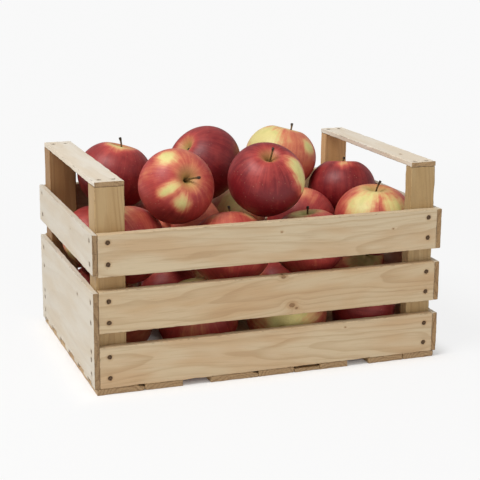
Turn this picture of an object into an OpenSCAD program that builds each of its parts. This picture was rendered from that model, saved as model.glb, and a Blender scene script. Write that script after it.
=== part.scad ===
// Open wooden crate with two carrying handles, heaped with apples.
// The origin is at the middle of the footprint, on the surface that the crate stands on.
// X runs along the crate, Y from front to back and Z up.

/* [Crate] */
// Length of the crate over its end boards
crate_l = 380; // [340:1:440]
// Width of the crate over its front and back slats
crate_w = 256; // [236:1:300]
// Height of one long slat
slat_h = 43; // [36:0.5:46]
// Thickness of the front and back slats
slat_t = 9; // [6:0.5:12]
// Air gap between two slats, one above the other
slat_gap = 14.5; // [10:0.5:20]
// Thickness of the end boards
end_t = 5.5; // [4:0.5:9]
// Height of the single tall panel at the left end
panel_h = 99.5; // [90:0.5:104]
// Height of the top board at the left end
end_top_h = 41; // [34:0.5:44]

/* [Posts and handles] */
// Width of a left post, along the crate
left_post_w = 30; // [24:0.5:34]
// Depth of a left post, across the crate
left_post_d = 26; // [18:0.5:30]
// Width of a right post, along the crate
right_post_w = 28; // [24:0.5:34]
// Depth of a right post, across the crate
right_post_d = 14; // [12:0.5:30]
// Rise of the handle's top face above the slats
handle_rise = 50; // [40:0.5:70]
// Thickness of a handle bar
bar_t = 5; // [4:0.5:9]

/* [Floor] */
// Thickness of a floor board
floor_t = 6.5; // [5:0.5:10]
// Thickness of the one thin floor board
thin_t = 4; // [3:0.5:4.5]
// How far the floor stops short of the crate's ends
floor_short = 2.5; // [0:0.5:4]
// Joint between two floor boards that lie side by side
floor_joint = 0.4; // [0.2:0.1:1]
// Width of the bark edge left on two of the boards
wane_w = 10; // [5:0.5:12]
// Depth of the bark edge
wane_h = 2.5; // [1:0.5:3]
// Number of small slots in the left panel's lower edge
slot_count = 5; // [3:1:5]
// Spacing of those slots
slot_pitch = 44; // [36:0.5:46]
// Length of a slot, across the crate
slot_l = 17; // [10:0.5:22]
// Height of a slot
slot_h = 4; // [2:0.5:6]

/* [Nails] */
// Diameter of a nail's shank
nail_d = 1.6; // [1.2:0.1:2]
// Diameter of a nail's head
head_d = 4.2; // [3:0.1:5]
// Thickness of a nail's head
head_t = 1; // [0.6:0.1:1.4]
// How deep a head is driven below the wood
sunk = 0.6; // [0.2:0.1:1]
// Length of a nail through a long slat
slat_nail_l = 22; // [16:0.5:23]
// Length of a nail through an end board
end_nail_l = 11; // [9:0.5:11.5]
// Length of a nail down through a handle bar
bar_nail_l = 20; // [14:0.5:30]
// Length of a nail up through a floor board
floor_nail_l = 12.5; // [10:0.5:12.5]
// Distance between the two nails of a slat's end, up the slat
nail_pitch = 22; // [14:0.5:26]
// Distance between the two nails of a handle's end
bar_nail_pitch = 14; // [8:0.5:16]
// Distance of a floor nail from the board's side
floor_nail_in = 9; // [6:0.5:12]
// Room left round a nail in its hole
nail_play = 0.05; // [0.02:0.01:0.1]

/* [Apples] */
// Diameter of a middling apple
apple_d = 80; // [70:0.5:86]
// Room left between two apples, and between an apple and the wood
apple_play = 0.3; // [0.1:0.1:0.6]
// Room left between an apple and the floor
floor_play = 0.1; // [0.05:0.05:0.3]
// How much lower than wide an apple is, as a share
apple_flat = 0.055; // [0:0.005:0.15]
// How much its shoulder is flattened besides, as a share
shoulder_flat = 0.08; // [0:0.01:0.12]
// How much an apple narrows to its base, as a share
base_taper = 0.06; // [0:0.01:0.12]
// Depth of the hollow round the stem, as a share of the apple's radius
stem_hollow = 0.32; // [0.2:0.01:0.36]
// Depth of the hollow at the blossom end, as a share of the apple's radius
blossom_hollow = 0.2; // [0.1:0.01:0.3]
// Diameter of the stem where it leaves the flesh
stem_d = 2.2; // [1.4:0.1:3]
// Diameter of the stem at its cut end
stem_end_d = 3.2; // [2:0.1:4]

/* [Hidden] */
eps = 0.01;
$fn = 48;
wood = "#d8c4a0";
end_wood = "#c9b08a";
floor_wood = "#c2a67c";
steel = "#5a4a3a";
skins = ["#8e2b30", "#b4484a", "#c8704e", "#7a1f26"];

// Levels of the slats: the underside of each, from the bottom one up
slat_pitch = slat_h + slat_gap;
slat_z = [for (i = [0:2]) floor_t + i * slat_pitch];
rim_z = slat_z[2] + slat_h;
handle_z = rim_z + handle_rise;
post_top_z = handle_z - bar_t;

// Faces inside the crate
in_x = crate_l / 2 - end_t;
in_y = crate_w / 2 - slat_t;

// Floor: widths of the boards from left to right, with a negative number for an open gap
floor_plan = [49, 40.5, -29, 52.5, 40.5, 29, 32, -24.5, 41, 37];
floor_l = crate_l - 2 * floor_short;
plan_scale = floor_l / total([for (w = floor_plan) abs(w)], len(floor_plan));
thin_board = 5;
waney_boards = [0, 3];

// Where the nails stand
slat_nail_in = 0.35;
bar_nail_y = 0.5;
top_row_up = 2;
end_rows_top = [0.22, 0.8];
end_rows_panel = [0.125, 0.28, 0.36, 0.66, 0.875];

// Shape of an apple: how wide its two hollows spread, in degrees from the axis
stem_spread = 15;
shoulder_spread = 34;
blossom_spread = 11;
// Where an apple starts to narrow to its base, and over how many degrees
taper_from = 85;
taper_over = 80;
skin_step = 6;
stem_foot = 4;
// Rounds in which the height of an apple over another one is found
lift_rounds = 6;

// The inside of the crate that the places below are drawn for, and the length of one unit there
drawn_bed = [369, 238];
drawn_unit = 1;
// Each apple in the order in which it was let down into the crate:
// place along, place across, size in percent, lean of the apple, heading of that lean, length of stem,
// and for some the tilt of the stem within its hollow and the heading of that tilt
heap = [
    [-60, -58, 109.5, 38, -110, 14],
    [35, -76, 110, 70, 60, 12],
    [126, -75, 99.5, 85, 150, 10],
    [-142, -29, 105, 60, 20, 10],
    [-146, 56, 95, 75, -40, 10],
    [-66, 36, 102, 80, 170, 10],
    [54, 4, 102.5, 65, -150, 10],
    [8, 73, 99.5, 50, -100, 10],
    [84, 80, 97, 95, -60, 10],
    [149, 64, 90, 55, -120, 10],
    [-70, 81, 94, 100, -10, 10],
    [142, -13, 91.5, 110, 100, 10],
    [-145, 43, 95.5, 40, -60, 12],
    [-131, -42, 105, 75, 110, 10],
    [-29, -74, 110, 33, 75, 23, 2, 12],
    [59, -79, 101.5, 8, 152, 16, 12, 165],
    [27, 72, 96, 70, 30, 10],
    [-49, 9, 99.5, 100, 30, 10],
    [81, -4, 98, 85, 60, 10],
    [142, -66, 108.5, 5, -71, 19, 11, 38],
    [145, 29, 98.5, 9, 68, 14, 8, -83],
    [-114, 77, 106, 15, 6, 19, 13, 176],
    [-84, -60, 100, 64, -80, 22, 18, 60],
    [11, -72, 103, 29, -101, 19, 9, 91],
    [-17, 49, 108, 50, -165, 12],
    [79, 58, 103.5, 16, 12, 18, 21, 21],
];

wood_nodes = [
    "front_left_post", "back_left_post", "front_right_post", "back_right_post",
    "front_bottom_slat", "front_middle_slat", "front_top_slat",
    "back_bottom_slat", "back_middle_slat", "back_top_slat",
    "left_panel", "left_top_board", "right_bottom_board", "right_middle_board", "right_top_board",
    "left_handle_bar", "right_handle_bar",
];
floor_nodes = ["floor_board_1", "floor_board_2", "floor_board_3", "floor_board_4",
    "floor_board_5", "floor_board_6", "floor_board_7", "floor_board_8"];
nail_nodes = ["front_nails", "back_nails", "left_nails", "right_nails", "handle_nails", "floor_nails"];

function total(list, n) = n == 0 ? 0 : list[n - 1] + total(list, n - 1);
function sq(a) = a * a;
function apple_name(i) = str("apple_", i < 9 ? "0" : "", i + 1);

// Posts: side is -1 at the left end and 1 at the right end
function post_w(side) = side < 0 ? left_post_w : right_post_w;
function post_d(side) = side < 0 ? left_post_d : right_post_d;

// Floor boards: which entries of the plan are boards, and where each one starts and ends
board_entries = [for (i = [0:len(floor_plan) - 1]) if (floor_plan[i] > 0) i];
function plan_x(i) = -floor_l / 2 + plan_scale * total([for (w = floor_plan) abs(w)], i);
function board_start(k) = plan_x(board_entries[k]) + (k > 0 ? floor_joint / 2 : 0);
function board_end(k) = plan_x(board_entries[k] + 1) - (k < len(board_entries) - 1 ? floor_joint / 2 : 0);
function board_t(k) = board_entries[k] == thin_board ? thin_t : floor_t;

// Nails: every nail is [point on the wood's face, direction in which it was driven, length]
function slat_rows(i) = let (mid = slat_z[i] + slat_h / 2 + (i == 2 ? top_row_up : 0))
    [mid - nail_pitch / 2, mid + nail_pitch / 2];
function long_nails(face) = [
    for (side = [-1, 1], i = [0:2], z = slat_rows(i))
        [[side * (in_x - slat_nail_in * post_w(side)), face * crate_w / 2, z], [0, -face, 0], slat_nail_l]
];
function end_nails(side, rows) = [
    for (face = [-1, 1], z = rows)
        [[side * crate_l / 2, face * (in_y - end_nail_y(side)), z], [-side, 0, 0], end_nail_l]
];
function end_nail_y(side) = min(left_post_d, right_post_d) * 0.32;
left_rows = concat(
    [for (s = end_rows_panel) floor_t + s * panel_h],
    [for (s = end_rows_top) rim_z - end_top_h + s * end_top_h]
);
right_rows = [for (i = [0:2], z = slat_rows(i)) z];
bar_nails = [
    for (side = [-1, 1], face = [-1, 1], step = [-0.5, 0.5])
        [[side * (in_x - post_w(side) / 2) + step * bar_nail_pitch, face * (in_y - bar_nail_y * post_d(side)), handle_z],
         [0, 0, -1], bar_nail_l]
];
under_nails = [
    for (k = [0:len(board_entries) - 1], face = [-1, 1], x = [board_start(k) + floor_nail_in, board_end(k) - floor_nail_in])
        if (board_t(k) == floor_t) [[x, face * (crate_w / 2 - slat_t / 2), 0], [0, 0, 1], floor_nail_l]
];

// Distance of an apple's skin from its middle, t degrees from the stem, as a share of its radius:
// a flattened ball less a hollow at each end and a low wide shoulder
function skin_r(t) = (1 - stem_hollow * exp(-sq(t / stem_spread)) - shoulder_flat * exp(-sq(t / shoulder_spread))
    - blossom_hollow * exp(-sq((180 - t) / blossom_spread))) / sqrt(sq(sin(t)) + sq(cos(t) / (1 - apple_flat)));
function narrow(t) = 1 - base_taper * sq(max(t - taper_from, 0) / taper_over);
function skin_points(r) = [for (t = [0:skin_step:180]) r * skin_r(t) * [sin(t) * narrow(t), cos(t)]];
// How far an apple of radius r, whose stem end points along a, reaches in direction u, by the angle between the two
reach_table = [for (q = [0:skin_step:180]) [q, max([for (p = skin_points(1)) p[0] * sin(q) + p[1] * cos(q)])]];
function reach(r, a, u) = r * lookup(acos(within(a * u / norm(u), 1)), reach_table);

// Direction in which an apple's stem end points
function stem_axis(i) = let (lean = heap[i][3], heading = heap[i][4])
    [sin(lean) * cos(heading), sin(lean) * sin(heading), cos(lean)];

// An apple at [x, y] is kept off the four walls and the four corner posts
function within(v, limit) = max(-limit, min(limit, v));
function keep_in(x, y, r) =
    let (
        r1 = r + apple_play,
        px = within(x, in_x - r1),
        py = within(y, in_y - r1),
        side = px < 0 ? -1 : 1,
        ex = max(in_x - post_w(side) - abs(px), 0),
        ey = max(in_y - post_d(side) - abs(py), 0),
        clear_y = in_y - post_d(side) - sqrt(max(sq(r1) - sq(ex), 0))
    )
    [px, sq(ex) + sq(ey) < sq(r1) ? sign(py) * min(abs(py), max(clear_y, 0)) : py];
// Height of an apple over what it rests on, dx and dy beside it: found in a few rounds, as its reach that way
// depends on the height itself. It is -1 where the two pass each other
function lift(dx, dy, h, play, r, a, r2, a2, rounds) =
    let (q = sq(reach(r, a, [-dx, -dy, -h]) + reach(r2, a2, [dx, dy, h]) + play) - sq(dx) - sq(dy))
    q <= 0 ? -1 : rounds == 0 ? sqrt(q) : lift(dx, dy, sqrt(q), play, r, a, r2, a2, rounds - 1);
function lift_over(dx, dy, play, r, a, r2, a2) =
    let (q = sq(r + r2 + play) - sq(dx) - sq(dy))
    q <= 0 ? -1 : lift(dx, dy, sqrt(q), play, r, a, r2, a2, lift_rounds);
// Height at which an apple let down at [x, y] meets a floor board or the apples [x, y, z, r, a] already there
function rest_z(x, y, r, a, below) = max(concat(
    [for (k = [0:len(board_entries) - 1])
        let (h = lift_over(x - within_board(k, x), 0, floor_play, r, a, 0, a)) if (h > 0) board_t(k) + h],
    [for (b = below) let (h = lift_over(x - b[0], y - b[1], apple_play, r, a, b[3], b[4])) if (h > 0) b[2] + h]
));
function within_board(k, x) = max(board_start(k), min(board_end(k), x));
// An apple that would come up into a handle bar is moved in, clear of the bar
function meets_bar(x, z, r) =
    let (
        ex = max(in_x - post_w(x < 0 ? -1 : 1) - abs(x), 0),
        ez = max(post_top_z - z, z - handle_z, 0)
    )
    sq(ex) + sq(ez) < sq(r + apple_play);
function off_bar(x, r) = (x < 0 ? -1 : 1) * (in_x - post_w(x < 0 ? -1 : 1) - r - apple_play);
// The heap, apple by apple
function pile(i, below) = i == len(heap) ? below :
    let (
        r = apple_d / 2 * heap[i][2] / 100,
        a = stem_axis(i),
        at = keep_in(heap[i][0] * drawn_unit * 2 * in_x / drawn_bed[0], heap[i][1] * drawn_unit * 2 * in_y / drawn_bed[1], r),
        x = meets_bar(at[0], rest_z(at[0], at[1], r, a, below), r) ? off_bar(at[0], r) : at[0]
    )
    pile(i + 1, concat(below, [[x, at[1], rest_z(x, at[1], r, a, below), r, a]]));
placed = pile(0, []);

module nail_shape(length) {
    translate([0, 0, sunk]) cylinder(d = head_d, h = head_t);
    translate([0, 0, sunk + head_t - eps]) cylinder(d = nail_d, h = length - head_t + eps);
}

// Hole that a nail stands in: a pocket for the head and a bore for the shank
module nail_hole(length) {
    translate([0, 0, -1]) cylinder(d = head_d + 2 * nail_play, h = 1 + sunk + head_t + nail_play);
    translate([0, 0, sunk]) cylinder(d = nail_d + 2 * nail_play, h = length + nail_play);
}

// Turns what is drawn along +Z to the direction in which a nail was driven
module driven(n) {
    translate(n[0])
        rotate(n[1][2] > 0 ? [0, 0, 0] : n[1][2] < 0 ? [180, 0, 0] : n[1][0] != 0 ? [0, 90 * n[1][0], 0] : [-90 * n[1][1], 0, 0])
            children();
}

module nails(list) {
    color(steel) for (n = list) driven(n) nail_shape(n[2]);
}

module holes(list) {
    for (n = list) driven(n) nail_hole(n[2]);
}

// Nails of one face that pass through a given band of heights
function in_band(list, low, high) = [for (n = list) if (n[0][2] > low && n[0][2] < high) n];
function at_end(list, side) = [for (n = list) if (sign(n[0][0]) == side) n];
function at_face(list, face) = [for (n = list) if (sign(n[0][1]) == face) n];

module post(side, face) {
    w = post_w(side);
    d = post_d(side);
    ends = side < 0 ? end_nails(side, left_rows) : end_nails(side, right_rows);
    color(end_wood) difference() {
        translate([side < 0 ? -in_x : in_x - w, face < 0 ? -in_y : in_y - d, floor_t])
            cube([w, d, post_top_z - floor_t]);
        holes(at_end(long_nails(face), side));
        holes(at_face(ends, face));
        holes(at_face(at_end(bar_nails, side), face));
    }
}

module long_slat(face, i) {
    color(wood) difference() {
        translate([-in_x, face < 0 ? -crate_w / 2 : crate_w / 2 - slat_t, slat_z[i]])
            cube([2 * in_x, slat_t, slat_h]);
        holes(in_band(long_nails(face), slat_z[i], slat_z[i] + slat_h));
        if (i == 0) holes(at_face(under_nails, face));
    }
}

module end_board(side, z, h) {
    rows = side < 0 ? left_rows : right_rows;
    color(end_wood) difference() {
        translate([side < 0 ? -crate_l / 2 : crate_l / 2 - end_t, -crate_w / 2, z])
            cube([end_t, crate_w, h]);
        holes(in_band(end_nails(side, rows), z, z + h));
    }
}

// Small slots through the left panel, where it stands on the floor
module panel_slots() {
    for (i = [0:slot_count - 1])
        translate([-crate_l / 2 - 1, (i - (slot_count - 1) / 2) * slot_pitch - slot_l / 2, floor_t - 1])
            cube([end_t + 2, slot_l, slot_h + 1]);
}

module handle_bar(side) {
    color(end_wood) difference() {
        translate([side < 0 ? -in_x : in_x - post_w(side), -in_y, post_top_z])
            cube([post_w(side), 2 * in_y, bar_t]);
        holes(at_end(bar_nails, side));
    }
}

// Bark edge: the top right edge of a board, cut away to a slope along its whole length
module wane(k) {
    translate([board_end(k), crate_w / 2 + 1, floor_t])
        rotate([90, 0, 0])
            linear_extrude(height = crate_w + 2)
                polygon([[-wane_w, 1], [-wane_w, 0], [-wane_w * 0.7, -wane_h * 0.8], [0, -wane_h], [1, -wane_h], [1, 1]]);
}

module floor_board(k) {
    x0 = board_start(k);
    color(floor_wood) difference() {
        translate([x0, -crate_w / 2, 0]) cube([board_end(k) - x0, crate_w, board_t(k)]);
        for (entry = waney_boards) if (board_entries[k] == entry) wane(k);
        holes([for (n = under_nails) if (n[0][0] > x0 && n[0][0] < board_end(k)) n]);
    }
}

// One apple with its stem: a round of skin points about the stem, leaned and turned, at its place in the heap
module apple(i) {
    at = placed[i];
    r = at[3];
    foot = r * skin_r(0);
    bent = len(heap[i]) > 6;
    color(skins[i % len(skins)])
        translate([at[0], at[1], at[2]])
            rotate([0, heap[i][3], heap[i][4]]) {
                rotate_extrude() polygon(concat([[0, foot]], [for (p = skin_points(r)) if (p[0] > eps) p], [[0, -r * skin_r(180)]]));
                translate([0, 0, foot]) rotate(bent ? [0, heap[i][6], heap[i][7]] : [0, 0, 0]) translate([0, 0, -stem_foot])
                    cylinder(d1 = stem_d, d2 = stem_end_d, h = stem_foot + heap[i][5] * drawn_unit, $fn = 24);
            }
}

post(-1, -1);  // front_left_post
post(-1, 1);  // back_left_post
post(1, -1);  // front_right_post
post(1, 1);  // back_right_post
long_slat(-1, 0);  // front_bottom_slat
long_slat(-1, 1);  // front_middle_slat
long_slat(-1, 2);  // front_top_slat
long_slat(1, 0);  // back_bottom_slat
long_slat(1, 1);  // back_middle_slat
long_slat(1, 2);  // back_top_slat
color(end_wood) difference() {  // left_panel
    end_board(-1, floor_t, panel_h);
    panel_slots();
}
end_board(-1, rim_z - end_top_h, end_top_h);  // left_top_board
end_board(1, slat_z[0], slat_h);  // right_bottom_board
end_board(1, slat_z[1], slat_h);  // right_middle_board
end_board(1, slat_z[2], slat_h);  // right_top_board
handle_bar(-1);  // left_handle_bar
handle_bar(1);  // right_handle_bar
for (k = [0:len(floor_nodes) - 1]) floor_board(k);
nails(long_nails(-1));  // front_nails
nails(long_nails(1));  // back_nails
nails(end_nails(-1, left_rows));  // left_nails
nails(end_nails(1, right_rows));  // right_nails
nails(bar_nails);  // handle_nails
nails(under_nails);  // floor_nails
for (i = [0:len(heap) - 1]) apple(i);
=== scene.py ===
import math

import bpy
import numpy as np
from mathutils import Matrix, Vector


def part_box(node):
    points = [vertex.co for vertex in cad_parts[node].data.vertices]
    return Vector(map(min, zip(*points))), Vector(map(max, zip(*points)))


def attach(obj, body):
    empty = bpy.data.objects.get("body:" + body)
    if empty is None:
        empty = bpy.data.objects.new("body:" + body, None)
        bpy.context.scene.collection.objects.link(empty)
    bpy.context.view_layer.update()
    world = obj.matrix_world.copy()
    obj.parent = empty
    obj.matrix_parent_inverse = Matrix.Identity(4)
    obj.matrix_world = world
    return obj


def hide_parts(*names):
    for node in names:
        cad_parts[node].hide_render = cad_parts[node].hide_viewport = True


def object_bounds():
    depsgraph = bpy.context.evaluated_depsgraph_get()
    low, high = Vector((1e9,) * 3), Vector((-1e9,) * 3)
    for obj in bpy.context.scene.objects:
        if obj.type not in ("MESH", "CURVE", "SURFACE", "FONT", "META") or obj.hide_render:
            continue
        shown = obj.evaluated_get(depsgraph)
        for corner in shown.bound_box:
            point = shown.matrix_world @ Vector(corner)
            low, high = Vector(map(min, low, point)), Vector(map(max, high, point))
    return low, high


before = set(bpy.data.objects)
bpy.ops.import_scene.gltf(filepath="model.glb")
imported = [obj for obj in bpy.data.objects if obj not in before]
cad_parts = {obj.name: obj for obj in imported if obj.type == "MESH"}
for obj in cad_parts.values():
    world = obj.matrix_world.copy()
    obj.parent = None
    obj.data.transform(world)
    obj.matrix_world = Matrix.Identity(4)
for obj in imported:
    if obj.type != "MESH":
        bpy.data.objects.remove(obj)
cadCorners = [[float(v) for v in corner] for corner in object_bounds()]
print("frame loaded with", len(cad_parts), "solids")


def srgb(red, green, blue):
    # A colour as a paint chart gives it, 0 to 255, turned to the linear values that shaders use
    part = np.array([red, green, blue]) / 255
    return (*np.where(part < 0.04045, part / 12.92, ((part + 0.055) / 1.055) ** 2.4).tolist(), 1.0)


class Wire:
    # A shader socket that stands in Python expressions: each operator adds its Math node
    def __init__(self, tree, socket=None):
        self.tree, self.socket = tree, socket

    def make(self, kind, settings=None, inputs=None, out=0):
        # Any other node: its settings first, then the values or links of its sockets
        node = self.tree.nodes.new(kind)
        for key, value in (settings or {}).items():
            if key != "stops":
                setattr(node, key, value)
                continue
            ramp = node.color_ramp.elements
            while len(ramp) < len(value):
                ramp.new(0.5)
            for stop, (place, colour) in zip(ramp, value):
                stop.position, stop.color = place, colour
        for key, value in (inputs or {}).items():
            if isinstance(value, Wire):
                self.tree.links.new(value.socket, node.inputs[key])
            else:
                node.inputs[key].default_value = value
        return Wire(self.tree, node.outputs[out])

    def math(self, operation, *values):
        return self.make("ShaderNodeMath", {"operation": operation}, dict(enumerate(values)))

    def __add__(self, other):
        return self.math("ADD", self, other)

    def __sub__(self, other):
        return self.math("SUBTRACT", self, other)

    def __rsub__(self, other):
        return self.math("SUBTRACT", other, self)

    def __mul__(self, other):
        return self.math("MULTIPLY", self, other)

    def __truediv__(self, other):
        return self.math("DIVIDE", self, other)

    def __rtruediv__(self, other):
        return self.math("DIVIDE", other, self)

    def __pow__(self, other):
        return self.math("POWER", self, other)

    __radd__ = __add__
    __rmul__ = __mul__

    def least(self, other):
        return self.math("MINIMUM", self, other)

    def most(self, other):
        return self.math("MAXIMUM", self, other)

    def rise(self, low, high):
        # 0 up to low, 1 from high on, and a smooth step between them
        smoothly = {"interpolation_type": "SMOOTHSTEP"}
        return self.make("ShaderNodeMapRange", smoothly, {0: self, 1: low, 2: high})

    def parts(self):
        split = self.make("ShaderNodeSeparateXYZ", None, {0: self}).socket.node
        return [Wire(self.tree, output) for output in split.outputs]

    def vector(self, operation, *values, out=0):
        return self.make("ShaderNodeVectorMath", {"operation": operation}, dict(enumerate(values)), out)

    def times(self, stretch):
        return self.vector("MULTIPLY", self, stretch)

    def bright(self, factor):
        # This colour made lighter or darker
        return self.make("ShaderNodeVectorMath", {"operation": "SCALE"}, {0: self, "Scale": factor})

    def between(self, share, first, second):
        # From the first colour to the second one as the share goes from 0 to 1
        return self.make("ShaderNodeMix", {"data_type": "RGBA"}, {0: share, 6: first, 7: second}, out=2)

    def noise(self, stretch, detail=2.0, rough=0.5):
        # Smooth random value, 0 to 1, whose lumps are as long as one over the stretch
        values = {"Vector": self.times(stretch), "Scale": 1.0, "Detail": detail, "Roughness": rough}
        return self.make("ShaderNodeTexNoise", None, values)

    def tint(self, share, colour, blend="MIX"):
        # This colour with a share of another one laid over it
        inputs = {0: share, 6: self, 7: colour}
        return self.make("ShaderNodeMix", {"data_type": "RGBA", "blend_type": blend}, inputs, out=2)


def startMaterial(name):
    # A new material with its surface shader, and a wire to start expressions from
    material = bpy.data.materials.new(name)
    material.use_nodes = True
    tree = material.node_tree
    return material, tree.nodes["Principled BSDF"], Wire(tree)


def finishMaterial(shader, begin, colour, rough, height, relief):
    # Links colour, roughness and a bump whose relief is in metres
    links = begin.tree.links
    links.new(colour.socket, shader.inputs["Base Color"])
    links.new(rough.socket, shader.inputs["Roughness"])
    bump = begin.make("ShaderNodeBump", None, {"Strength": 1.0, "Distance": relief, "Height": height})
    links.new(bump.socket, shader.inputs["Normal"])


def readAttribute(begin, name):
    return begin.make("ShaderNodeAttribute", {"attribute_name": name}, out="Vector")


# Numbers below are in millimetres until a mesh is made

def wobble(points, size, seed, waves=12):
    # Sum of sines in random directions, each about as long as size: a smooth random value from about -1 to 1
    draw = np.random.default_rng(seed)
    way = draw.normal(size=(3, waves))
    way *= 2 * np.pi / size * draw.uniform(0.6, 1.5, waves) / np.linalg.norm(way, axis=0)
    return np.sin(points @ way + draw.uniform(0, 2 * np.pi, waves)).sum(1) * 0.9 / math.sqrt(waves)


def smooth(value, low, high):
    t = np.clip((value - low) / (high - low), 0, 1)
    return t * t * (3 - 2 * t)


def makePiece(name, points, faces, materials, faceMaterial=None, attributes=None):
    # A mesh object at the origin, from points in millimetres and faces as rows of four,
    # where a repeated last corner stands for a triangle
    mesh = bpy.data.meshes.new(name)
    sizes = np.where(faces[:, 3] == faces[:, 2], 3, 4)
    corners = faces.ravel()[(np.arange(4)[None, :] < sizes[:, None]).ravel()]
    mesh.vertices.add(len(points))
    mesh.vertices.foreach_set("co", (points * 0.001).astype(np.float32).ravel())
    mesh.loops.add(len(corners))
    mesh.loops.foreach_set("vertex_index", corners.astype(np.int32))
    mesh.polygons.add(len(faces))
    mesh.polygons.foreach_set("loop_start", np.concatenate([[0], np.cumsum(sizes)[:-1]]).astype(np.int32))
    for material in materials:
        mesh.materials.append(material)
    if faceMaterial is not None:
        mesh.polygons.foreach_set("material_index", faceMaterial.astype(np.int32))
    mesh.update(calc_edges=True)
    mesh.validate()
    mesh.shade_smooth()
    for key, values in (attributes or {}).items():
        layer = mesh.attributes.new(key, "FLOAT_VECTOR", "POINT")
        layer.data.foreach_set("vector", values.astype(np.float32).ravel())
    piece = bpy.data.objects.new(name, mesh)
    bpy.context.scene.collection.objects.link(piece)
    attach(piece, "root")
    return piece


def gridFaces(index):
    # Faces between the neighbouring rows and columns of a grid of point numbers
    corners = [index[:-1, :-1], index[1:, :-1], index[1:, 1:], index[:-1, 1:]]
    return np.stack(corners, -1).reshape(-1, 4)


def ringFaces(rings, sides, turned=False):
    # Faces of a closed tube: rings of points one after another, then the middle points of its two ends
    row, step = np.meshgrid(np.arange(rings - 1) * sides, np.arange(sides), indexing="ij")
    after = (step + 1) % sides
    quads = np.stack([row + step, row + after, row + after + sides, row + step + sides], -1)
    side, after, last = np.arange(sides), (np.arange(sides) + 1) % sides, (rings - 1) * sides
    first, end = np.full(sides, rings * sides), np.full(sides, rings * sides + 1)
    caps = [np.stack([after, side, first, first], 1), np.stack([last + side, last + after, end, end], 1)]
    faces = np.concatenate([quads.reshape(-1, 4), *caps])
    return faces[:, [1, 0, 3, 2]] if turned else faces


def blockGrid(lines):
    # Skin of a block: six grids on shared lines, one set of lines along each axis, with all faces outwards
    corners, faces, count = [], [], 0
    last = [len(line) - 1 for line in lines]
    for axis in range(3):
        u, v = (axis + 1) % 3, (axis + 2) % 3
        for side in (0, last[axis]):
            i, j = np.meshgrid(np.arange(last[u] + 1), np.arange(last[v] + 1), indexing="ij")
            place = np.zeros((i.size, 3), int)
            place[:, axis], place[:, u], place[:, v] = side, i.ravel(), j.ravel()
            index = np.arange(i.size).reshape(i.shape) + count
            quad = gridFaces(index)
            faces.append(quad if side else quad[:, ::-1])
            corners.append(place)
            count += i.size
    unique, back = np.unique(np.concatenate(corners), axis=0, return_inverse=True)
    points = np.stack([lines[axis][unique[:, axis]] for axis in range(3)], 1)
    return points, back.ravel()[np.concatenate(faces)]


def edgeLines(low, high, step, extra=()):
    # Lines from low to high about a step apart, with close ones at both ends and round the extra places
    near = np.array([0, 0.35, 0.9, 1.8])
    ring = np.array([-4.2, -3.1, -2.6, -2.1, -1.2, 0.0, 1.2, 2.1, 2.6, 3.1, 4.2])
    even = np.linspace(low, high, max(int((high - low) / step), 2) + 1)[1:-1]
    even = even[(even > low + 2.6) & (even < high - 2.6)]
    for place in extra:
        even = even[np.abs(even - place) > 4.8]
    lines = np.concatenate([low + near, high - near, even, *[place + ring for place in extra]])
    lines = np.unique(np.round(lines[(lines >= low) & (lines <= high)], 3))
    return lines[np.concatenate([[True], np.diff(lines) > 0.12])]


def nailSpots(node, axis):
    # The middle of each nail of a group, found by gathering the points that lie round one line
    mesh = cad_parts[node].data
    points = np.empty(len(mesh.vertices) * 3, np.float32)
    mesh.vertices.foreach_get("co", points)
    points = np.unique(np.round(points.reshape(-1, 3) * 1000, 2), axis=0)
    flat = [k for k in range(3) if k != axis]
    spots = []
    while len(points):
        mine = np.linalg.norm(points[:, flat] - points[0, flat], axis=1) < 5
        spots.append((points[mine].min(0) + points[mine].max(0)) / 2)
        points = points[~mine]
    return np.array(spots)


def slotEdges(node):
    # Where the slots in a board's lower edge begin and end along Y, and the height of their roof
    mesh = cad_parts[node].data
    points = np.empty(len(mesh.vertices) * 3, np.float32)
    mesh.vertices.foreach_get("co", points)
    points = np.round(points.reshape(-1, 3) * 1000, 2)
    low, high = points[:, 2].min(), points[:, 2].max()
    roof = points[(points[:, 2] > low + 1) & (points[:, 2] < high - 1)]
    return np.unique(roof[:, 1]), roof[:, 2].min()


crateLook = {
    "edge": 0.75,  # rounding of a board's edges
    "wear": 0.55,  # how unevenly the edges are worn, as a share of that rounding
    "hollow": 0.35,  # how far a face dips below its highest places
    "dimple": 1.1,  # depth of the pit round a nail's head
    "pit": 2.6,  # radius of that pit
    "steps": (5.0, 3.4, 2.6),  # spacing of the lines along a board, across it and through it
}
# Each group of nails: the axis it was driven along, the side its heads are on, and the face they lie in
cadLow, cadHigh = np.array(cadCorners) * 1000
nailGroups = {
    "front_nails": (1, -1, cadLow[1]), "back_nails": (1, 1, cadHigh[1]),
    "left_nails": (0, -1, cadLow[0]), "right_nails": (0, 1, cadHigh[0]),
    "handle_nails": (2, 1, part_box("left_handle_bar")[1][2] * 1000), "floor_nails": (2, -1, cadLow[2]),
}
nailPlaces = {node: nailSpots(node, axis) for node, (axis, side, outer) in nailGroups.items()}


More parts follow.
